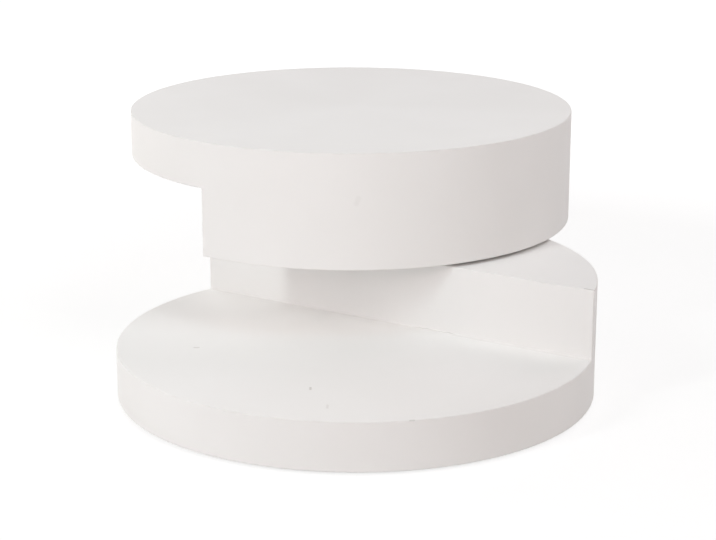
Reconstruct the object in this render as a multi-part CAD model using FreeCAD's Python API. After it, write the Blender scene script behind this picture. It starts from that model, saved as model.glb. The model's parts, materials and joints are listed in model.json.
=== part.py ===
"""Swivel coffee table: two round hollow boxes, each with a D-shaped block, joined by a ball-bearing ring.

Frame, in millimetres: +Z is up, the origin is on the floor under the centre of the base disc, and +Y points
from there to the middle of the base's block. The swivel axis is vertical, at x = 0, y = SWIVEL_Y.

Both halves are built alike, so each piece is drawn once in the half's own frame: w = 0 is the outer face of
the disc (the floor side of the base, or the table top) and w grows towards the bearing. lower() stands a
piece on the floor pads, and upper() turns it over, lifts it onto the bearing and opens it by OPEN_ANGLE.
"""

import FreeCAD
import Part

import math
import os

V = FreeCAD.Vector
Z = V(0, 0, 1)

# ---- driving dimensions, in mm and degrees ----
DISC_R = 400.0            # outer radius of both discs
DISC_T = 81.0             # thickness of a disc, face to face
FACE_T = 12.0             # board of a disc's two faces
RIM_T = 9.0               # bent board round a disc
BLOCK_H = 118.0           # height of a block above its disc
BLOCK_Y = 110.0           # flat front of a block, from the centre of its disc
FRONT_T = 15.0            # board of the flat front
WALL_T = 9.0              # bent board round the back of a block
CAP_T = 15.0              # board that carries the bearing
EDGE_R = 2.0              # rounding of the painted edges
SWIVEL_DEPTH = 120.0      # swivel axis, behind the flat front
SWIVEL_GAP = 6.0          # height of the bearing between the two blocks
OPEN_ANGLE = 112.8        # turn of the top from over the base, clockwise seen from above

RIB_T = 9.0               # boards of the lattice in a disc, and of the ribs in a block
CROSS_RIBS = 3
RIB_PITCH = 170.0         # between cross ribs; the block's two ribs stand over the outer ones
FRONT_RIB_INSET = 170.0   # first long rib, from the front edge of the disc
BACK_RIB_INSET = 110.0    # last long rib, from the back edge of the disc
CLEAT_W = 20.0            # square batten behind the foot of the flat front
CLEAT_END = 40.0          # its end, inside the end of the flat front
BOARD_T = 12.0            # board that doubles the cap
BOARD_MARGIN = 20.0       # its edges, past the bearing

PITCH_R = 82.0            # circle of ball centres
RING_W = 17.2             # width of each ring of the bearing
BALL_D = 3.0
BALL_COUNT = 36
RACE_PLAY = 0.05          # between a ball and its groove or pocket
RUN_GAP = 1.6             # between the two rings
RING_LIFT = 1.0           # each ring's clearance from the block it turns over
CAGE_T = 0.8
CAGE_LIP = 0.6            # cage left above and below a ball

SCREW_D = 4.0
HEAD_D = 8.0
HEAD_H = 2.4
RECESS_W = 1.2            # arms of the cross recess
RING_SCREW_L = 30.0
RING_SCREWS = 6           # in each ring
CLEAT_SCREW_L = 26.0
DOWEL_D = 8.0
DOWEL_COUNT = 4           # along each edge of the flat front
DOWEL_END = 85.0          # outermost dowel, inside the end of the flat front
DOWEL_IN_FRONT = 16.0     # depth in the edge of the flat front
DOWEL_IN_FACE = 8.0       # depth in the disc's face and in the cap

ACCESS_R = 9.0            # screwdriver hole for the screws of the upper ring
PLUG_LIP = 3.0            # plug's head past its hole
PLUG_HEAD_T = 1.5
PLUG_STEM_L = 9.0
PAD_T = 4.0               # felt floor pads
PAD_R = 20.0
PAD_INSET = 60.0          # pad's centre, inside the edge of the disc
PAD_COUNT = 6             # round the edge, with one more in the middle

GLUE_FIT = 0.3            # between a straight board's end and a bent board
LAP_FIT = 0.2             # round a board in its slot
PIN_FIT = 0.1             # round a screw, dowel or plug in its hole


def row(count, pitch):
    """Evenly spaced places, half of them on each side of 0."""
    return [(i - (count - 1) / 2) * pitch for i in range(count)]


# ---- sizes that follow ----
SWIVEL_Y = BLOCK_Y + SWIVEL_DEPTH
INNER_FACE_W = DISC_T - FACE_T             # hidden side of the disc's inner face board
BLOCK_TOP_W = DISC_T + BLOCK_H             # a block's bearing face
CAP_W = BLOCK_TOP_W - CAP_T                # hidden side of the cap
BOARD_W = CAP_W - BOARD_T
RING_HEAD_W = BLOCK_TOP_W + SWIVEL_GAP - RING_LIFT   # heads of the screws that hold a ring to this half
FRONT_BACK_Y = BLOCK_Y + FRONT_T           # hidden side of the flat front
CHORD_HALF = math.sqrt(DISC_R ** 2 - BLOCK_Y ** 2)
INSIDE_R = DISC_R - WALL_T - GLUE_FIT      # room for straight boards inside a block
BEARING_Z = PAD_T + BLOCK_TOP_W            # underside of the bearing
TABLE_H = BEARING_Z + SWIVEL_GAP + BLOCK_TOP_W

BALL_R = BALL_D / 2
POCKET_R = BALL_R + RACE_PLAY
BALL_Z = BEARING_Z + SWIVEL_GAP / 2
OUTER_RACE_R = PITCH_R + RUN_GAP / 2
INNER_RACE_R = PITCH_R - RUN_GAP / 2
RING_OUT_R = OUTER_RACE_R + RING_W
RING_IN_R = INNER_RACE_R - RING_W
LOWER_SCREWS_R = OUTER_RACE_R + RING_W / 2
UPPER_SCREWS_R = INNER_RACE_R - RING_W / 2

FRONT_RIB_Y = FRONT_RIB_INSET - DISC_R
BLOCK_RIB_Y = BLOCK_Y + FRONT_T / 2        # under the flat front
CROSS_RIB_X = row(CROSS_RIBS, RIB_PITCH)
LONG_RIB_Y = [FRONT_RIB_Y, (FRONT_RIB_Y + BLOCK_RIB_Y) / 2, BLOCK_RIB_Y, DISC_R - BACK_RIB_INSET]
CLEAT_HALF = CHORD_HALF - CLEAT_END
CLEAT_SCREW_X = row(CROSS_RIBS + 1, RIB_PITCH)       # one in each bay between the ribs
CLEAT_SCREW_Y = FRONT_BACK_Y + CLEAT_W / 2
DOWEL_X = row(DOWEL_COUNT, 2 * (CHORD_HALF - DOWEL_END) / (DOWEL_COUNT - 1))
PAD_CIRCLE_R = DISC_R - PAD_INSET

PAST = 10.0                                # how far a cutting tool runs past what it cuts
NEAR = 1e-3                                # two places this close are the same


# ---- basic shapes ----
def cylinder(radius, w0, w1, x=0.0, y=0.0):
    return Part.makeCylinder(radius, w1 - w0, V(x, y, w0))


def ring(outer, inner, w0, w1, y=0.0):
    return cylinder(outer, w0, w1, 0, y).cut(cylinder(inner, w0 - PAST, w1 + PAST, 0, y))


def box(x0, x1, y0, y1, w0, w1):
    return Part.makeBox(x1 - x0, y1 - y0, w1 - w0, V(x0, y0, w0))


def behind(y, w0, w1):
    """Everything behind the plane y, to cut a disc down to a D."""
    return box(-DISC_R - PAST, DISC_R + PAST, y, DISC_R + PAST, w0, w1)


def turned(profile):
    """A solid turned about the Z axis, from the points (radius, height) of its outline."""
    points = [V(r, 0, h) for r, h in profile]
    return Part.Face(Part.makePolygon(points + points[:1])).revolve(V(0, 0, 0), Z, 360)


def cut_all(shape, tools):
    for tool in tools:
        shape = shape.cut(tool)
    return shape


def drilled(shape, radius, w0, w1, places):
    return cut_all(shape, [cylinder(radius, w0, w1, x, y) for x, y in places])


def level(w):
    """Test for an edge that lies flat at height w."""
    return lambda e: abs(e.BoundBox.ZMin - w) < NEAR and abs(e.BoundBox.ZMax - w) < NEAR


def block_corner(e):
    """Test for the two upright edges where a block's flat front meets its round back."""
    b = e.BoundBox
    upright = b.XLength < NEAR and b.YLength < NEAR
    return upright and abs(b.YMin - BLOCK_Y) < NEAR and abs(abs(b.XMin) - CHORD_HALF) < NEAR


def rounded(shape, test):
    return shape.makeFillet(EDGE_R, [e for e in shape.Edges if test(e)])


def around_swivel(radius, count):
    """Places on a circle round the swivel axis."""
    turns = [2 * math.pi * i / count for i in range(count)]
    return [(radius * math.cos(t), SWIVEL_Y + radius * math.sin(t)) for t in turns]


# ---- fasteners ----
def screw(length):
    """Countersunk screw along +Z, with the face of its head at the origin."""
    body = turned([
        (0, 0), (HEAD_D / 2, 0), (SCREW_D / 2, HEAD_H), (SCREW_D / 2, length - SCREW_D), (0, length),
    ])
    arm, side = HEAD_D / 4, RECESS_W / 2
    recess = box(-arm, arm, -side, side, -PAST, HEAD_H / 2)
    return body.cut(recess.fuse(box(-side, side, -arm, arm, -PAST, HEAD_H / 2)))


def screw_hole(length):
    """The hole that a screw leaves, PIN_FIT larger all round, and open above its head."""
    head, shank = HEAD_D / 2 + PIN_FIT, SCREW_D / 2 + PIN_FIT
    end = length + PIN_FIT
    return turned([
        (0, -PAST), (head, -PAST), (head, PIN_FIT), (shank, HEAD_H + PIN_FIT), (shank, end), (0, end),
    ])


def placed(shape, places, w, pointing_down=False):
    """A copy of a shape that points along +Z at each place, at height w."""
    copies = []
    for x, y in places:
        copy = shape.copy()
        if pointing_down:
            copy.rotate(V(0, 0, 0), V(1, 0, 0), 180)
        copy.translate(V(x, y, w))
        copies.append(copy)
    return copies


def at_cleat_screws(shape):
    """The cleat screws go from inside the disc, through its inner face, into the batten."""
    return placed(shape, [(x, CLEAT_SCREW_Y) for x in CLEAT_SCREW_X], INNER_FACE_W)


def dowels(radius):
    """The flat front is dowelled to the disc at its foot and to the cap at its head."""
    spans = [
        (DISC_T - DOWEL_IN_FACE, DISC_T + DOWEL_IN_FRONT),
        (CAP_W - DOWEL_IN_FRONT, CAP_W + DOWEL_IN_FACE),
    ]
    return [cylinder(radius, w0, w1, x, BLOCK_RIB_Y) for w0, w1 in spans for x in DOWEL_X]


def dowel_holes():
    return dowels(DOWEL_D / 2 + PIN_FIT)


# ---- the disc of one half ----
def outer_face():
    """The disc's outer face: the floor side of the base, or the table top."""
    return rounded(cylinder(DISC_R, 0, FACE_T), level(0))


def rim_wall():
    return ring(DISC_R, DISC_R - RIM_T, FACE_T, INNER_FACE_W)


def inner_face():
    """The disc's other face: an open part, rounded where its edge shows, and a sharp part under the block."""
    whole = cylinder(DISC_R, INNER_FACE_W, DISC_T)
    under_block = behind(BLOCK_Y, INNER_FACE_W - PAST, DISC_T + PAST)
    open_part = rounded(whole, level(DISC_T)).cut(under_block)
    board = open_part.fuse(whole.common(under_block))
    return cut_all(board, at_cleat_screws(screw_hole(CLEAT_SCREW_L)) + dowel_holes())


def long_rib(y):
    """A rib along X, with a slot in its inner edge at each cross rib."""
    rib = box(-DISC_R, DISC_R, y - RIB_T / 2, y + RIB_T / 2, FACE_T, INNER_FACE_W)
    slot = RIB_T / 2 + LAP_FIT
    middle = (FACE_T + INNER_FACE_W) / 2
    slots = [box(x - slot, x + slot, -DISC_R, DISC_R, middle, DISC_T) for x in CROSS_RIB_X]
    return cut_all(inside_rim(rib), slots)


def cross_rib(x):
    """A rib along Y, with a slot in its outer edge at each long rib."""
    rib = box(x - RIB_T / 2, x + RIB_T / 2, -DISC_R, DISC_R, FACE_T, INNER_FACE_W)
    slot = RIB_T / 2 + LAP_FIT
    middle = (FACE_T + INNER_FACE_W) / 2
    slots = [box(-DISC_R, DISC_R, y - slot, y + slot, 0, middle) for y in LONG_RIB_Y]
    return cut_all(inside_rim(rib), slots)


def inside_rim(rib):
    return rib.common(cylinder(DISC_R - RIM_T - GLUE_FIT, 0, DISC_T))


# ---- the block of one half ----
def block_front():
    board = box(-DISC_R, DISC_R, BLOCK_Y, FRONT_BACK_Y, DISC_T, CAP_W)
    board = board.common(cylinder(DISC_R, DISC_T, CAP_W))
    return cut_all(rounded(board, block_corner), dowel_holes())


def block_wall():
    return ring(DISC_R, DISC_R - WALL_T, DISC_T, CAP_W).common(behind(FRONT_BACK_Y, DISC_T, CAP_W))


def block_cap(screw_places):
    """The block's bearing face, with its edge rounded all round."""
    top_edge = level(BLOCK_TOP_W)
    board = cylinder(DISC_R, CAP_W, BLOCK_TOP_W).common(behind(BLOCK_Y, CAP_W, BLOCK_TOP_W))
    board = rounded(board, lambda e: top_edge(e) or block_corner(e))
    return drilled_for_ring(cut_all(board, dowel_holes()), screw_places)


def bearing_board(screw_places):
    """The board that doubles the cap, so that the ring screws hold in both."""
    reach = RING_OUT_R + BOARD_MARGIN
    board = box(-reach, reach, FRONT_BACK_Y, SWIVEL_Y + reach, BOARD_W, CAP_W)
    board = board.common(cylinder(INSIDE_R, BOARD_W, CAP_W))
    return drilled_for_ring(board, screw_places)


def drilled_for_ring(board, screw_places):
    tip = RING_HEAD_W - RING_SCREW_L - PIN_FIT
    return drilled(board, SCREW_D / 2 + PIN_FIT, tip, RING_HEAD_W, screw_places)


def cleat():
    """The batten in the corner between the flat front and the disc."""
    back, top = FRONT_BACK_Y + CLEAT_W, DISC_T + CLEAT_W
    batten = box(-CLEAT_HALF, CLEAT_HALF, FRONT_BACK_Y, back, DISC_T, top)
    return cut_all(batten, at_cleat_screws(screw_hole(CLEAT_SCREW_L)))


def block_rib(x):
    """An upright rib from the flat front to the bent wall, notched over the batten."""
    rib = box(x - RIB_T / 2, x + RIB_T / 2, FRONT_BACK_Y, DISC_R, DISC_T, CAP_W)
    clear = CLEAT_W + LAP_FIT
    notch = box(x - RIB_T, x + RIB_T, BLOCK_Y, FRONT_BACK_Y + clear, 0, DISC_T + clear)
    return rib.common(cylinder(INSIDE_R, DISC_T, CAP_W)).cut(notch)


def half_pieces(half, outer_name, inner_name, screw_places):
    """Every wooden board and fastener of one half by node name, in the half's own frame."""
    pieces = {
        outer_name: [outer_face()],
        inner_name: [inner_face()],
        half + "_rim_wall": [rim_wall()],
        half + "_block_front_panel": [block_front()],
        half + "_block_curved_wall": [block_wall()],
        half + "_block_cap": [block_cap(screw_places)],
        half + "_bearing_board": [bearing_board(screw_places)],
        half + "_block_cleat": [cleat()],
        half + "_block_rib_left": [block_rib(CROSS_RIB_X[0])],
        half + "_block_rib_right": [block_rib(CROSS_RIB_X[-1])],
        half + "_dowels": dowels(DOWEL_D / 2),
        half + "_cleat_screws": at_cleat_screws(screw(CLEAT_SCREW_L)),
    }
    for number, y in enumerate(LONG_RIB_Y, 1):
        pieces[f"{half}_long_rib_{number}"] = [long_rib(y)]
    for number, x in enumerate(CROSS_RIB_X, 1):
        pieces[f"{half}_cross_rib_{number}"] = [cross_rib(x)]
    return pieces


# ---- what only the base has ----
ACCESS_PLACE = around_swivel(UPPER_SCREWS_R, 1)      # under the circle of the upper ring's screws


def with_access_hole(board):
    return drilled(board, ACCESS_R, -PAST, BLOCK_TOP_W + PAST, ACCESS_PLACE)


def access_plug():
    """Push-in plug that closes the screwdriver hole in the floor panel."""
    x, y = ACCESS_PLACE[0]
    stem = cylinder(ACCESS_R - PIN_FIT, -PLUG_HEAD_T, PLUG_STEM_L, x, y)
    return stem.fuse(cylinder(ACCESS_R + PLUG_LIP, -PLUG_HEAD_T, 0, x, y)).removeSplitter()


def floor_pads():
    turns = [2 * math.pi * i / PAD_COUNT for i in range(PAD_COUNT)]
    places = [(PAD_CIRCLE_R * math.cos(t), PAD_CIRCLE_R * math.sin(t)) for t in turns]
    return [cylinder(PAD_R, -PAD_T, 0, x, y) for x, y in [(0, 0)] + places]


# ---- placing the two halves ----
def lower(shape):
    shape = shape.copy()
    shape.translate(V(0, 0, PAD_T))
    return shape


def opened(shape):
    shape = shape.copy()
    shape.rotate(V(0, SWIVEL_Y, 0), Z, -OPEN_ANGLE)
    return shape


def upper(shape):
    """The mirror image of a half is the half turned over, because each half is symmetric about x = 0."""
    shape = shape.mirror(V(0, 0, 0), Z)
    shape.translate(V(0, 0, TABLE_H))
    return opened(shape)


# ---- the bearing, in the table's frame ----
def bearing_ring(outer, inner, low, high, holes):
    groove = Part.makeTorus(PITCH_R, POCKET_R, V(0, SWIVEL_Y, BALL_Z))
    return cut_all(ring(outer, inner, low, high, SWIVEL_Y), [groove] + holes)


def lower_ring_pieces():
    """The outer ring, screwed down to the base's block."""
    top = BEARING_Z + SWIVEL_GAP - RING_LIFT
    places = around_swivel(LOWER_SCREWS_R, RING_SCREWS)
    holes = placed(screw_hole(RING_SCREW_L), places, top, pointing_down=True)
    body = bearing_ring(RING_OUT_R, OUTER_RACE_R, BEARING_Z, top, holes)
    return body, placed(screw(RING_SCREW_L), places, top, pointing_down=True)


def upper_ring_pieces():
    """The inner ring, screwed up to the top's block and turned with it."""
    bottom = BEARING_Z + RING_LIFT
    places = around_swivel(UPPER_SCREWS_R, RING_SCREWS)
    holes = placed(screw_hole(RING_SCREW_L), places, bottom)
    body = bearing_ring(INNER_RACE_R, RING_IN_R, bottom, BEARING_Z + SWIVEL_GAP, holes)
    return opened(body), [opened(s) for s in placed(screw(RING_SCREW_L), places, bottom)]


def balls():
    return [Part.makeSphere(BALL_R, V(x, y, BALL_Z)) for x, y in around_swivel(PITCH_R, BALL_COUNT)]


def ball_cage():
    """A thin strip between the two rings, with a round pocket for each ball."""
    reach = BALL_R + CAGE_LIP
    outer, inner = PITCH_R + CAGE_T / 2, PITCH_R - CAGE_T / 2
    strip = ring(outer, inner, BALL_Z - reach, BALL_Z + reach, SWIVEL_Y)
    pockets = []
    for x, y in around_swivel(PITCH_R - CAGE_T, BALL_COUNT):
        outward = V(x, y - SWIVEL_Y, 0).normalize()
        pockets.append(Part.makeCylinder(POCKET_R, 2 * CAGE_T, V(x, y, BALL_Z), outward))
    return cut_all(strip, pockets)


def build():
    """Every solid of the table by node name."""
    lower_places = around_swivel(LOWER_SCREWS_R, RING_SCREWS)
    base = half_pieces("base", "base_floor_panel", "base_shelf_panel", lower_places)
    for name in ("base_floor_panel", "base_shelf_panel", "base_bearing_board", "base_block_cap"):
        base[name] = [with_access_hole(board) for board in base[name]]
    base["base_access_plug"] = [access_plug()]
    base["base_floor_pads"] = floor_pads()

    upper_places = around_swivel(UPPER_SCREWS_R, RING_SCREWS)
    top = half_pieces("top", "top_table_panel", "top_underside_panel", upper_places)

    lower_ring, lower_screws = lower_ring_pieces()
    upper_ring, upper_screws = upper_ring_pieces()
    nodes = {name: [lower(s) for s in shapes] for name, shapes in base.items()}
    nodes.update({name: [upper(s) for s in shapes] for name, shapes in top.items()})
    nodes.update({
        "swivel_lower_ring": [lower_ring],
        "swivel_lower_screws": lower_screws,
        "swivel_upper_ring": [upper_ring],
        "swivel_upper_screws": upper_screws,
        "swivel_balls": balls(),
        "swivel_ball_cage": [ball_cage()],
    })
    return nodes


def main():
    os.makedirs("parts", exist_ok=True)
    for name, shapes in build().items():
        solids = [solid for shape in shapes for solid in shape.Solids]
        whole = solids[0] if len(solids) == 1 else Part.makeCompound(solids)
        whole.exportStep(os.path.join("parts", name + ".step"))
        print(f"{name}: {len(solids)} solid(s), {whole.Volume / 1e3:.1f} cm3, valid {whole.isValid()}")


main()
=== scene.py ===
import json
import math

import bmesh
import bpy
from mathutils import Matrix, Vector, noise


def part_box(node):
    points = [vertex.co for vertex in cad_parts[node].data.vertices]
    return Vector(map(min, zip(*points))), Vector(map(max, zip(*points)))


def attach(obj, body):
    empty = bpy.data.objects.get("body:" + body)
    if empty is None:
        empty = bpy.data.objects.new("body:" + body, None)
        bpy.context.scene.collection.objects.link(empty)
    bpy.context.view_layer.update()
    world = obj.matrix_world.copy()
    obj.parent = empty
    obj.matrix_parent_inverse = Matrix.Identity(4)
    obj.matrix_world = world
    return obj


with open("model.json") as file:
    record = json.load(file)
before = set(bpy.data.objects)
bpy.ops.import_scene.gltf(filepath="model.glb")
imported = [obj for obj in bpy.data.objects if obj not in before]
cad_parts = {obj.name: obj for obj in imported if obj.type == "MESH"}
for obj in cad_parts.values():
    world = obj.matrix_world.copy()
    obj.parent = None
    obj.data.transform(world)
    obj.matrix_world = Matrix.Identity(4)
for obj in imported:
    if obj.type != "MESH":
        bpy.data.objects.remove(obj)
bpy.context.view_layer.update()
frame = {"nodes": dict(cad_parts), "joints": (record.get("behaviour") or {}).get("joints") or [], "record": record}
NODES = frame["nodes"]
SLOT_OF = {part["node"]: part["material_slot"] for part in frame["record"]["subparts"]}
SWIVEL = next(Vector(joint["pos_m"]) for joint in frame["joints"] if joint["name"] == "top_swivel")

# ---- sizes of one half, from the frame; w is the height above the outer face of a half's disc ----
PANEL_LOW, PANEL_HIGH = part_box("base_floor_panel")
SHELF_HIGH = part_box("base_shelf_panel")[1]
FRONT_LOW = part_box("base_block_front_panel")[0]
CAP_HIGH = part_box("base_block_cap")[1]
TABLE_LOW, TABLE_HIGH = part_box("top_table_panel")

DISC_R = PANEL_HIGH.x
DISC_T = SHELF_HIGH.z - PANEL_LOW.z
BLOCK_TOP_W = CAP_HIGH.z - PANEL_LOW.z
CHORD_Y = FRONT_LOW.y
CHORD_HALF = math.sqrt(DISC_R ** 2 - CHORD_Y ** 2)

# ---- where the top half is; OPEN_TURN is its turn about the swivel, from closed ----
TABLE_Z = TABLE_HIGH.z
TOP_CENTRE = (TABLE_LOW + TABLE_HIGH) / 2
OPEN_TURN = math.atan2(TOP_CENTRE.y - SWIVEL.y, TOP_CENTRE.x - SWIVEL.x) + math.pi / 2

# ---- camera: the photograph's, as a distance and height from the middle of the base disc ----
PHOTO_WIDTH = 716
FOCAL_PX = 1961.2
SENSOR_MM = 36.0
CAMERA_AZIMUTH = math.radians(32.24)
CAMERA_DISTANCE = 3.138
CAMERA_HEIGHT = 1.1032
CAMERA_PITCH = 0.2786
CAMERA_YAW = 0.0011
CAMERA_ROLL = 0.0014


def add_camera():
    data = bpy.data.cameras.new("camera")
    data.sensor_width = SENSOR_MM
    data.lens = FOCAL_PX / PHOTO_WIDTH * SENSOR_MM
    camera = bpy.data.objects.new("camera", data)
    bpy.context.scene.collection.objects.link(camera)
    side, back = math.sin(CAMERA_AZIMUTH), -math.cos(CAMERA_AZIMUTH)
    place = Vector((side * CAMERA_DISTANCE, back * CAMERA_DISTANCE, CAMERA_HEIGHT))
    turn = (
        Matrix.Rotation(CAMERA_AZIMUTH - CAMERA_YAW, 4, "Z")
        @ Matrix.Rotation(math.pi / 2 - CAMERA_PITCH, 4, "X")
        @ Matrix.Rotation(CAMERA_ROLL, 4, "Z")
    )
    camera.matrix_world = Matrix.Translation(place) @ turn
    bpy.context.scene.camera = camera


# ---- node helpers ----
# the sockets of a Mix node that hold its colours
MIX_FIRST = 6
MIX_SECOND = 7
MIX_RESULT = 2
# most of a noise texture's values lie between these
NOISE_SPAN = (0.3, 0.7)


class Nodes:
    """A material's node tree, with one short call per kind of node."""

    def __init__(self, material):
        material.use_nodes = True
        self.tree = material.node_tree
        self.shader = self.tree.nodes["Principled BSDF"]
        coords = self.tree.nodes.new("ShaderNodeTexCoord")
        self.place = coords.outputs["Object"]

    def put(self, socket, value):
        if isinstance(value, bpy.types.NodeSocket):
            self.tree.links.new(value, socket)
        else:
            socket.default_value = value

    def math(self, operation, a, b=0.0):
        node = self.tree.nodes.new("ShaderNodeMath")
        node.operation = operation
        self.put(node.inputs[0], a)
        self.put(node.inputs[1], b)
        return node.outputs[0]

    def vector(self, operation, a, b=(0.0, 0.0, 0.0)):
        node = self.tree.nodes.new("ShaderNodeVectorMath")
        node.operation = operation
        self.put(node.inputs[0], a)
        self.put(node.inputs["Scale" if operation == "SCALE" else 1], b)
        return node.outputs["Value" if operation in ("LENGTH", "DOT_PRODUCT") else "Vector"]

    def mapped(self, scale=(1.0, 1.0, 1.0), location=(0.0, 0.0, 0.0), turn=0.0, source=None):
        node = self.tree.nodes.new("ShaderNodeMapping")
        self.put(node.inputs["Vector"], source or self.place)
        node.inputs["Location"].default_value = location
        node.inputs["Rotation"].default_value = (0.0, 0.0, turn)
        node.inputs["Scale"].default_value = scale
        return node.outputs["Vector"]

    def split(self, vector):
        node = self.tree.nodes.new("ShaderNodeSeparateXYZ")
        self.put(node.inputs[0], vector)
        return node.outputs

    def joined(self, x, y, z):
        node = self.tree.nodes.new("ShaderNodeCombineXYZ")
        for socket, value in zip(node.inputs, (x, y, z)):
            self.put(socket, value)
        return node.outputs[0]

    def noise(self, scale, detail=2.0, roughness=0.5, source=None, distortion=0.0):
        node = self.tree.nodes.new("ShaderNodeTexNoise")
        self.put(node.inputs["Vector"], source or self.place)
        node.inputs["Scale"].default_value = scale
        node.inputs["Detail"].default_value = detail
        node.inputs["Roughness"].default_value = roughness
        node.inputs["Distortion"].default_value = distortion
        return node.outputs["Fac"]

    def spread(self, value, low, high, to_low=0.0, to_high=1.0):
        """value from low..high brought to to_low..to_high, held at both ends."""
        node = self.tree.nodes.new("ShaderNodeMapRange")
        self.put(node.inputs["Value"], value)
        for name, number in (("From Min", low), ("From Max", high), ("To Min", to_low), ("To Max", to_high)):
            node.inputs[name].default_value = number
        return node.outputs["Result"]

    def blend(self, share, first, second):
        node = self.tree.nodes.new("ShaderNodeMix")
        node.data_type = "RGBA"
        self.put(node.inputs["Factor"], share)
        self.put(node.inputs[MIX_FIRST], first)
        self.put(node.inputs[MIX_SECOND], second)
        return node.outputs[MIX_RESULT]

    def bump(self, height, distance, under=None):
        node = self.tree.nodes.new("ShaderNodeBump")
        node.inputs["Strength"].default_value = 1.0
        node.inputs["Distance"].default_value = distance
        self.put(node.inputs["Height"], height)
        if under is not None:
            self.put(node.inputs["Normal"], under)
        return node.outputs["Normal"]


def rgb(red, green, blue):
    return (red, green, blue, 1.0)


# ---- places on a half, for the lacquer ----
def half_place(n, is_top):
    """The shaded point in its half's own frame: x, y from the disc's centre, and w up from its outer face."""
    if not is_top:
        return n.mapped(location=(0.0, 0.0, -PANEL_LOW.z))
    back = Matrix.Rotation(-OPEN_TURN, 3, "Z")
    centre = Vector((SWIVEL.x, SWIVEL.y, 0.0))
    shift = centre - back @ centre
    return n.mapped(scale=(1.0, 1.0, -1.0), location=(shift.x, shift.y, TABLE_Z), turn=-OPEN_TURN)


def distance_2d(n, a, b):
    """The length of two distances at right angles."""
    return n.vector("LENGTH", n.joined(a, b, 0.0))


def edge_distance(n, place):
    """How far the point is from the nearest rounded edge of its half."""
    x, y, w = n.split(place)
    off_rim = n.math("SUBTRACT", distance_2d(n, x, y), DISC_R)
    off_chord = n.math("SUBTRACT", y, CHORD_Y)
    off_inner = n.math("SUBTRACT", w, DISC_T)
    off_top = n.math("SUBTRACT", w, BLOCK_TOP_W)
    off_corner = n.math("SUBTRACT", n.math("ABSOLUTE", x), CHORD_HALF)
    behind = n.math("GREATER_THAN", off_chord, 0.0)
    below = n.math("LESS_THAN", off_inner, 0.0)
    edges = (
        distance_2d(n, off_rim, w),
        n.math("ADD", distance_2d(n, off_rim, off_inner), behind),
        distance_2d(n, off_rim, off_top),
        distance_2d(n, off_chord, off_top),
        n.math("ADD", distance_2d(n, off_corner, off_chord), below),
    )
    nearest = edges[0]
    for edge in edges[1:]:
        nearest = n.math("MINIMUM", nearest, edge)
    return nearest


# ---- materials ----
LACQUER_LIGHT = rgb(0.925, 0.922, 0.914)
LACQUER_DEEP = rgb(0.899, 0.895, 0.884)
LACQUER_WORN = rgb(0.740, 0.715, 0.670)
# the filler's lacquer is a little darker than the rest: painted shade in the corner where the bead lies, which
# tones down the light it catches
SHADED_FILLER_LIGHT = rgb(0.897, 0.892, 0.881)
SHADED_FILLER_DEEP = rgb(0.862, 0.855, 0.841)
MARK_COLOUR = rgb(0.300, 0.270, 0.230)

# noise in the lacquer: a RATE in waves per metre, and the SPAN of its values that is used
CLOUD_RATE = 3.1
CLOUD_SPAN = (0.35, 0.65)
BAND_RATE = 9.0
BAND_STRETCH = (1.0, 1.0, 0.12)
BAND_MOST = 0.35
BAND_DEPTH = 0.0004
EDGE_WEAR_REACH = 0.0035
EDGE_WEAR_MOST = 0.35
EDGE_WEAR_RATE = 34.0
EDGE_WEAR_SPAN = (0.42, 0.72)
EDGE_WEAR_ROUGHER = 0.3
SMUDGE_RATE = 7.5
LACQUER_SMOOTHEST = 0.58
LACQUER_ROUGHEST = 0.70
PEEL_RATE = 420.0
PEEL_DEPTH = 0.00003
LACQUER_IOR = 1.5
LACQUER_SPECULAR = 0.25

# marks in the base's lacquer: the two ends, the reach to either side and how dark;
# up to MARK_CORE times its reach a mark is whole, and at MARK_FADE times it is gone
MARK_CORE = 0.5
MARK_FADE = 1.2
SPECKS = (
    (Vector((-0.2013, -0.1821, DISC_T)), Vector((-0.1959, -0.1787, DISC_T)), 0.0025, 0.30),
    (Vector((0.0710, -0.2451, DISC_T)), Vector((0.0764, -0.2535, DISC_T)), 0.0022, 0.33),
    (Vector((0.1372, -0.2981, DISC_T)), Vector((0.1446, -0.3101, DISC_T)), 0.0022, 0.15),
)
# a nick in the rim of the shelf
RIM_NICK = (Vector((0.2775, -0.2880, DISC_T)), Vector((0.2820, -0.2836, DISC_T)), 0.0020, 0.25)
# a dark line painted on the cap's top face, along the block's front edge at one end
CAP_EDGE_DARK_LINE = (Vector((0.3660, 0.1135, BLOCK_TOP_W)), Vector((0.3870, 0.1135, BLOCK_TOP_W)), 0.0022, 0.42)
# and a smudge in the top's lacquer, where its disc and block meet flush
TOP_SMUDGE = (Vector((0.2183, 0.3352, 0.0750)), Vector((0.2210, 0.3334, 0.0850)), 0.0045, 0.055)

# the crack in the base's bead of filler: its place along the front, and its line, which wanders up and down
CRACK_MIDDLE = 0.091
CRACK_HALF = 0.044
CRACK_FADE = 0.012
CRACK_WIDTH = 0.0009
CRACK_CORE = 0.4
CRACK_WANDER = 0.0022
CRACK_WANDER_RATE = 48.0
CRACK_WANDER_SPAN = (0.25, 0.75)
CRACK_DARKNESS = 0.34

# how alike the rounded and the true direction of a surface are at a sharp edge and on a flat face
EDGE_ALIKE = 0.75
FLAT_ALIKE = 0.99
BEVEL_SAMPLES = 4

# the plain materials: the broad clouds are so many times coarser than the grain,
# and go so far to the deep colour
BROAD_COARSER = 14
BROAD_SPAN = (0.4, 0.7)
BROAD_MOST = 0.4
# the share of the rubbed colour at an edge, which follows the broad clouds
RUB_SPAN = (0.35, 0.6)
RUB_SHARE = (0.3, 0.8)
RUB_ROUGHER = 0.04

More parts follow.
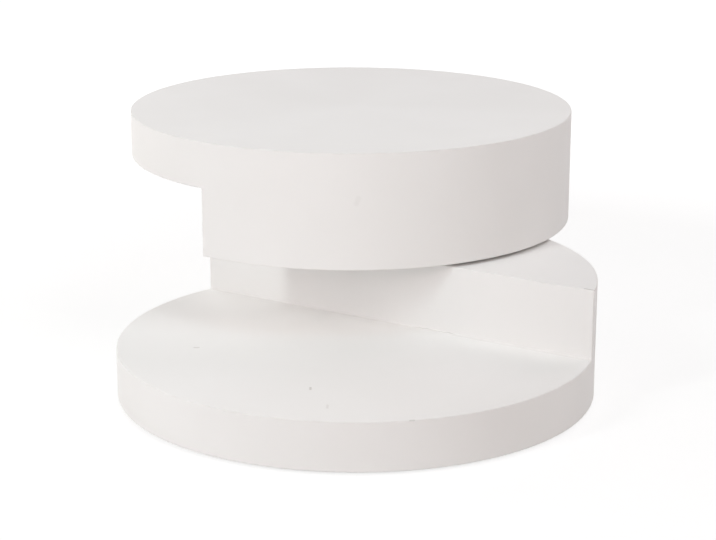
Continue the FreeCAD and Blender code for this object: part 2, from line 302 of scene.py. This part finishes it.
# the turned aluminium of the bearing's rings
ALUMINIUM_LIGHT = rgb(0.74, 0.74, 0.75)
ALUMINIUM_DEEP = rgb(0.66, 0.66, 0.67)
ALUMINIUM_DULL = rgb(0.58, 0.58, 0.58)
ALUMINIUM_RUBBED = rgb(0.82, 0.82, 0.83)
TURNING_RATE = 1800.0
TURNING_HEIGHT_SHARE = 0.6
TURNING_DEPTH = 0.00002
DULL_RATE = 45.0
DULL_SPAN = (0.45, 0.7)
DULL_MOST = 0.35
RING_RUB_REACH = 0.0005
RING_RUB_MOST = 0.6
RING_SMOOTHEST = 0.26
RING_ROUGHEST = 0.42


def new_material(name):
    material = bpy.data.materials.new(name)
    return material, Nodes(material)


def off_line(n, place, start, end):
    """How far the point is from the line between two ends."""
    along, length = (end - start).normalized(), (end - start).length
    from_start = n.vector("SUBTRACT", place, start)
    run = n.spread(n.vector("DOT_PRODUCT", from_start, along), 0.0, length, 0.0, length)
    return n.vector("LENGTH", n.vector("SUBTRACT", from_start, n.vector("SCALE", along, run)))


def lacquer(name, is_top, marks=(), light=LACQUER_LIGHT, deep=LACQUER_DEEP):
    material, n = new_material(name)
    place = half_place(n, is_top)
    cloud = n.noise(CLOUD_RATE, detail=3.0, source=place)
    colour = n.blend(n.spread(cloud, *CLOUD_SPAN), light, deep)

    bands = n.noise(BAND_RATE, detail=2.0, source=n.mapped(scale=BAND_STRETCH, source=place))
    colour = n.blend(n.spread(bands, *NOISE_SPAN, 0.0, BAND_MOST), colour, deep)

    near_edge = n.spread(edge_distance(n, place), 0.0, EDGE_WEAR_REACH, 1.0, 0.0)
    patchy = n.noise(EDGE_WEAR_RATE, detail=4.0, roughness=0.65, source=place)
    patchy = n.spread(patchy, *EDGE_WEAR_SPAN)
    worn = n.math("MULTIPLY", n.math("MULTIPLY", near_edge, patchy), EDGE_WEAR_MOST)
    colour = n.blend(worn, colour, LACQUER_WORN)

    for start, end, reach, darkness in marks:
        off_mark = off_line(n, place, start, end)
        mark = n.spread(off_mark, MARK_CORE * reach, MARK_FADE * reach, darkness, 0.0)
        colour = n.blend(mark, colour, MARK_COLOUR)

    smudges = n.noise(SMUDGE_RATE, detail=5.0, roughness=0.6, source=place, distortion=0.4)
    roughness = n.spread(smudges, *NOISE_SPAN, LACQUER_SMOOTHEST, LACQUER_ROUGHEST)
    roughness = n.math("ADD", roughness, n.math("MULTIPLY", worn, EDGE_WEAR_ROUGHER))

    peel = n.bump(n.noise(PEEL_RATE, detail=1.0, source=place), distance=PEEL_DEPTH)
    waves = n.bump(bands, distance=BAND_DEPTH, under=peel)
    n.put(n.shader.inputs["Base Color"], colour)
    n.put(n.shader.inputs["Roughness"], roughness)
    n.put(n.shader.inputs["Normal"], waves)
    n.shader.inputs["IOR"].default_value = LACQUER_IOR
    n.shader.inputs["Specular IOR Level"].default_value = LACQUER_SPECULAR
    return material


def shaded_filler(name, is_top):
    """The lacquer over a bead of filler, painted a little darker: painted shade in the corner where the bead lies.
    """
    return lacquer(name, is_top, light=SHADED_FILLER_LIGHT, deep=SHADED_FILLER_DEEP)


def cracked_filler(name):
    """The base's filler, which has cracked along one stretch."""
    material = shaded_filler(name, is_top=False)
    n = Nodes(material)
    x, y, w = n.split(half_place(n, is_top=False))
    across = n.math("ADD", n.math("SUBTRACT", w, DISC_T), n.math("SUBTRACT", y, CHORD_Y))
    wander = n.noise(CRACK_WANDER_RATE, detail=2.0, source=n.joined(x, 0.0, 0.0))
    line_at = n.spread(wander, *CRACK_WANDER_SPAN, -CRACK_WANDER, CRACK_WANDER)
    off_crack = n.math("ABSOLUTE", n.math("SUBTRACT", across, line_at))
    off_middle = n.math("ABSOLUTE", n.math("SUBTRACT", x, CRACK_MIDDLE))
    line = n.spread(off_crack, CRACK_CORE * CRACK_WIDTH, CRACK_WIDTH, CRACK_DARKNESS, 0.0)
    ends = n.spread(off_middle, CRACK_HALF - CRACK_FADE, CRACK_HALF, 1.0, 0.0)
    base = n.shader.inputs["Base Color"].links[0].from_socket
    n.put(n.shader.inputs["Base Color"], n.blend(n.math("MULTIPLY", line, ends), base, MARK_COLOUR))
    return material


def sharp_edges(n, radius):
    """1 at a sharp edge, 0 on a flat face."""
    bevel = n.tree.nodes.new("ShaderNodeBevel")
    bevel.samples = BEVEL_SAMPLES
    bevel.inputs["Radius"].default_value = radius
    geometry = n.tree.nodes.new("ShaderNodeNewGeometry")
    alike = n.vector("DOT_PRODUCT", bevel.outputs["Normal"], geometry.outputs["Normal"])
    return n.spread(alike, EDGE_ALIKE, FLAT_ALIKE, 1.0, 0.0)


def plain(name, light, deep, worn, grain, rough, bump,
          stretch=(1.0, 1.0, 1.0), metallic=0.0, edge=0.0008, sheen=0.0):
    """A material of two close colours in a fine grain, rubbed to a third colour along its edges."""
    material, n = new_material(name)
    stretched = n.mapped(scale=stretch)
    fine = n.noise(grain, detail=4.0, roughness=0.6, source=stretched)
    broad = n.noise(grain / BROAD_COARSER, detail=3.0, source=stretched)
    colour = n.blend(n.spread(fine, *NOISE_SPAN), rgb(*light), rgb(*deep))
    colour = n.blend(n.spread(broad, *BROAD_SPAN, 0.0, BROAD_MOST), colour, rgb(*deep))
    rub = sharp_edges(n, edge)
    rubbed = n.math("MULTIPLY", rub, n.spread(broad, *RUB_SPAN, *RUB_SHARE))
    colour = n.blend(rubbed, colour, rgb(*worn))
    roughness = n.spread(fine, *NOISE_SPAN, *rough)
    n.put(n.shader.inputs["Base Color"], colour)
    n.put(n.shader.inputs["Roughness"], n.math("ADD", roughness, n.math("MULTIPLY", rub, RUB_ROUGHER)))
    n.put(n.shader.inputs["Normal"], n.bump(fine, distance=bump))
    n.shader.inputs["Metallic"].default_value = metallic
    n.shader.inputs["Sheen Weight"].default_value = sheen
    return material


def turned_aluminium(name):
    """Turning marks run round the swivel axis."""
    material, n = new_material(name)
    x, y, z = n.split(n.mapped(location=(-SWIVEL.x, -SWIVEL.y, 0.0)))
    around = n.joined(distance_2d(n, x, y), n.math("MULTIPLY", z, TURNING_HEIGHT_SHARE), 0.0)
    marks = n.noise(TURNING_RATE, detail=3.0, source=around)
    cloud = n.noise(DULL_RATE, detail=3.0)
    colour = n.blend(n.spread(marks, *NOISE_SPAN), ALUMINIUM_LIGHT, ALUMINIUM_DEEP)
    colour = n.blend(n.spread(cloud, *DULL_SPAN, 0.0, DULL_MOST), colour, ALUMINIUM_DULL)
    rub = sharp_edges(n, RING_RUB_REACH)
    colour = n.blend(n.math("MULTIPLY", rub, RING_RUB_MOST), colour, ALUMINIUM_RUBBED)
    roughness = n.spread(marks, *NOISE_SPAN, RING_SMOOTHEST, RING_ROUGHEST)
    n.put(n.shader.inputs["Base Color"], colour)
    n.put(n.shader.inputs["Roughness"], roughness)
    n.put(n.shader.inputs["Normal"], n.bump(marks, distance=TURNING_DEPTH))
    n.shader.inputs["Metallic"].default_value = 1.0
    return material


def add_materials():
    base_lacquer = lacquer("base_lacquer", is_top=False, marks=SPECKS + (RIM_NICK, CAP_EDGE_DARK_LINE))
    top_lacquer = lacquer("top_lacquer", is_top=True, marks=(TOP_SMUDGE,))
    others = {
        "raw_board": plain(
            "raw_mdf", light=(0.66, 0.53, 0.38), deep=(0.55, 0.42, 0.29), worn=(0.47, 0.35, 0.23),
            grain=700.0, rough=(0.84, 0.95), bump=0.00012),
        "dowel_wood": plain(
            "beech", light=(0.80, 0.66, 0.48), deep=(0.66, 0.49, 0.32), worn=(0.58, 0.42, 0.27),
            grain=500.0, rough=(0.55, 0.7), bump=0.00008, stretch=(1.0, 1.0, 0.08)),
        "felt": plain(
            "needle_felt", light=(0.27, 0.26, 0.25), deep=(0.15, 0.145, 0.14), worn=(0.33, 0.32, 0.30),
            grain=900.0, rough=(0.92, 1.0), bump=0.0004, sheen=0.3),
        "screw_steel": plain(
            "zinc_plate", light=(0.70, 0.70, 0.71), deep=(0.58, 0.58, 0.60), worn=(0.78, 0.77, 0.75),
            grain=600.0, rough=(0.25, 0.45), bump=0.00001, metallic=1.0, edge=0.0003),
        "ring_aluminium": turned_aluminium("turned_aluminium"),
        "ball_steel": plain(
            "polished_steel", light=(0.77, 0.77, 0.78), deep=(0.72, 0.72, 0.73), worn=(0.80, 0.80, 0.80),
            grain=300.0, rough=(0.05, 0.12), bump=0.000002, metallic=1.0, edge=0.0002),
        "cage_plastic": plain(
            "nylon", light=(0.82, 0.81, 0.77), deep=(0.76, 0.74, 0.68), worn=(0.88, 0.87, 0.84),
            grain=800.0, rough=(0.45, 0.6), bump=0.00002, edge=0.0003),
        "plug_plastic": plain(
            "matt_plastic", light=(0.87, 0.87, 0.86), deep=(0.82, 0.82, 0.80), worn=(0.78, 0.77, 0.74),
            grain=700.0, rough=(0.5, 0.66), bump=0.00003, edge=0.0006),
    }
    for node, obj in NODES.items():
        if SLOT_OF[node] == "white_lacquer":
            material = top_lacquer if node.startswith("top_") else base_lacquer
        else:
            material = others[SLOT_OF[node]]
        for slot in obj.material_slots:
            slot.material = material


# ---- pieces ----
# the bead of filler at the foot of a flat front: its hollow's radius varies along the front,
# its flat sides lie a little inside the boards, and it stops short of the rim
BEAD_R = 0.0048
BEAD_WOBBLE = 0.25
BEAD_WOBBLE_RATE = 40
TOP_BEAD_NOISE_Y = 0.5
BEAD_STEP = 0.003
BEAD_ARC_STEPS = 8
BEAD_SUNK = 0.0001
BEAD_END = 0.006
BEAD_SHARP_ANGLE = math.radians(60)


def half_to_world(is_top):
    """Takes a place in a half's own frame to the table's."""
    if not is_top:
        return Matrix.Translation((0.0, 0.0, PANEL_LOW.z))
    about = Matrix.Translation((SWIVEL.x, SWIVEL.y, 0.0))
    opened = about @ Matrix.Rotation(OPEN_TURN, 4, "Z") @ about.inverted()
    return opened @ Matrix.Translation((0.0, 0.0, TABLE_Z)) @ Matrix.Scale(-1.0, 4, (0.0, 0.0, 1.0))


def add_filler_bead(name, body, is_top, material):
    """A hand-smoothed bead of filler in the corner between a flat front and its disc."""
    mesh = bmesh.new()
    place = half_to_world(is_top)
    reach = CHORD_HALF - BEAD_END
    count = round(2 * reach / BEAD_STEP)
    noise_y = TOP_BEAD_NOISE_Y if is_top else 0.0
    rows = []
    for i in range(count + 1):
        x = -reach + 2 * reach * i / count
        radius = BEAD_R * (1 + BEAD_WOBBLE * noise.noise((x * BEAD_WOBBLE_RATE, noise_y, 0.0)))
        arc_r = radius + BEAD_SUNK
        centre_y, centre_w = CHORD_Y - radius, DISC_T + radius
        section = [(CHORD_Y + BEAD_SUNK, DISC_T - BEAD_SUNK)]
        for k in range(BEAD_ARC_STEPS + 1):
            turn = math.pi / 2 * k / BEAD_ARC_STEPS
            section.append((centre_y + arc_r * math.sin(turn), centre_w - arc_r * math.cos(turn)))
        rows.append([mesh.verts.new(place @ Vector((x, y, w))) for y, w in section])
    for near, far in zip(rows, rows[1:]):
        for k in range(len(near)):
            m = (k + 1) % len(near)
            mesh.faces.new((near[k], near[m], far[m], far[k]))
    mesh.faces.new(rows[0])
    mesh.faces.new(list(reversed(rows[-1])))
    bmesh.ops.recalc_face_normals(mesh, faces=mesh.faces)
    data = bpy.data.meshes.new(name)
    mesh.to_mesh(data)
    mesh.free()
    data.shade_smooth()
    data.set_sharp_from_angle(angle=BEAD_SHARP_ANGLE)
    piece = bpy.data.objects.new(name, data)
    bpy.context.scene.collection.objects.link(piece)
    data.materials.append(material)
    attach(piece, body)


# ---- light ----
LIGHT_TARGET = Vector((-0.05, 0.15, 0.2))

# name, azimuth and elevation in degrees, distance, width and height in metres, power in watts, colour
SOFTBOXES = (
    ("key_low", -14.8, 15.0, 4.0, 0.56, 0.7, 19.8, (1.0, 0.95, 0.955)),
    ("key_middle", -14.8, 25.0, 4.0, 0.56, 0.7, 13.6, (0.96, 1.0, 1.0)),
    ("key_high", -14.8, 35.0, 4.0, 0.56, 0.7, 22.9, (0.93, 1.0, 0.995)),
    ("front_left", -45.0, 33.0, 3.5, 1.6, 1.6, 12.2, (1.0, 0.84, 0.80)),
    ("front_right", 30.0, 22.0, 3.5, 1.6, 1.6, 9.8, (1.0, 0.785, 0.755)),
    ("right", 80.0, 35.0, 3.5, 1.6, 1.6, 28.1, (1.0, 0.87, 0.835)),
    ("right_high", 80.0, 65.0, 3.5, 1.6, 1.6, 18.3, (0.77, 0.96, 1.0)),
    ("left", -92.0, 25.0, 3.5, 1.6, 1.6, 19.6, (1.0, 0.945, 0.875)),
    ("back_left", -115.0, 21.0, 3.5, 1.6, 1.6, 27.5, (0.975, 0.98, 1.0)),
    ("back_right", 130.0, 35.0, 3.5, 1.6, 1.6, 2.4, (1.0, 0.945, 0.935)),
    ("back", 165.0, 45.0, 3.5, 2.0, 2.0, 22.5, (1.0, 0.865, 0.875)),
)


def add_softbox(name, azimuth, elevation, distance, width, height, power, colour):
    """A soft light that faces the table, from an azimuth of 0 in front of the shelf and 90 on its +X side."""
    data = bpy.data.lights.new(name, "AREA")
    data.shape = "RECTANGLE"
    data.size = width
    data.size_y = height
    data.energy = power
    data.color = colour
    lamp = bpy.data.objects.new(name, data)
    bpy.context.scene.collection.objects.link(lamp)
    a, e = math.radians(azimuth), math.radians(elevation)
    towards = Vector((math.sin(a) * math.cos(e), -math.cos(a) * math.cos(e), math.sin(e)))
    lamp.location = LIGHT_TARGET + distance * towards
    lamp.rotation_euler = towards.to_track_quat("Z", "Y").to_euler()


# ---- floor and world ----
FLOOR_Z = 0.0
FLOOR_SIZE = 60.0
FLOOR_PALE = rgb(0.88, 0.88, 0.875)
FLOOR_DEEP = rgb(0.86, 0.86, 0.852)
FLOOR_CLOUD_RATE = 1.5
# what the camera sees of the floor: a glow that grows to white between two distances from the table,
# and a share that takes the shadow
FLOOR_GLOW = 0.76
FLOOR_NEAR = 1.3
FLOOR_FAR = 3.0
FLOOR_SHADOW_SHARE = rgb(0.30, 0.30, 0.30)
AMBIENT = rgb(0.12, 0.12, 0.12)
WHITE = rgb(1.0, 1.0, 1.0)


def seen_directly(tree):
    """1 for what the camera sees, straight or in gloss or glass."""
    path = tree.nodes.new("ShaderNodeLightPath")
    total = path.outputs["Is Camera Ray"]
    for name in ("Is Glossy Ray", "Is Transmission Ray"):
        larger = tree.nodes.new("ShaderNodeMath")
        larger.operation = "MAXIMUM"
        tree.links.new(total, larger.inputs[0])
        tree.links.new(path.outputs[name], larger.inputs[1])
        total = larger.outputs[0]
    return total


def add_floor():
    bpy.ops.mesh.primitive_plane_add(size=FLOOR_SIZE, location=(0.0, 0.0, FLOOR_Z))
    floor = bpy.context.object
    floor.name = "floor"
    material, n = new_material("pale_floor")
    tree = n.tree
    tree.nodes.remove(n.shader)
    lit = tree.nodes.new("ShaderNodeBsdfDiffuse")
    n.put(lit.inputs["Color"], n.blend(n.noise(FLOOR_CLOUD_RATE), FLOOR_PALE, FLOOR_DEEP))
    faint = tree.nodes.new("ShaderNodeBsdfDiffuse")
    faint.inputs["Color"].default_value = FLOOR_SHADOW_SHARE
    glow = tree.nodes.new("ShaderNodeEmission")
    away = n.vector("LENGTH", n.place)
    n.put(glow.inputs["Strength"], n.spread(away, FLOOR_NEAR, FLOOR_FAR, FLOOR_GLOW, 1.0))
    seen = tree.nodes.new("ShaderNodeAddShader")
    tree.links.new(faint.outputs[0], seen.inputs[0])
    tree.links.new(glow.outputs[0], seen.inputs[1])
    either = tree.nodes.new("ShaderNodeMixShader")
    tree.links.new(seen_directly(tree), either.inputs[0])
    tree.links.new(lit.outputs[0], either.inputs[1])
    tree.links.new(seen.outputs[0], either.inputs[2])
    tree.links.new(either.outputs[0], tree.nodes["Material Output"].inputs["Surface"])
    floor.data.materials.append(material)


def add_world():
    world = bpy.data.worlds.new("studio")
    bpy.context.scene.world = world
    world.use_nodes = True
    tree = world.node_tree
    tree.nodes.clear()
    around = tree.nodes.new("ShaderNodeBackground")
    around.inputs["Color"].default_value = AMBIENT
    backdrop = tree.nodes.new("ShaderNodeBackground")
    backdrop.inputs["Color"].default_value = WHITE
    either = tree.nodes.new("ShaderNodeMixShader")
    tree.links.new(seen_directly(tree), either.inputs[0])
    tree.links.new(around.outputs[0], either.inputs[1])
    tree.links.new(backdrop.outputs[0], either.inputs[2])
    output = tree.nodes.new("ShaderNodeOutputWorld")
    tree.links.new(either.outputs[0], output.inputs["Surface"])


# ---- the scene ----
add_camera()
add_materials()
add_filler_bead("base_filler_bead", "base", is_top=False, material=cracked_filler("base_filler"))
add_filler_bead("top_filler_bead", "top", is_top=True, material=shaded_filler("top_filler", is_top=True))
add_floor()
add_world()
for softbox in SOFTBOXES:
    add_softbox(*softbox)
bpy.context.scene.view_settings.view_transform = "Standard"
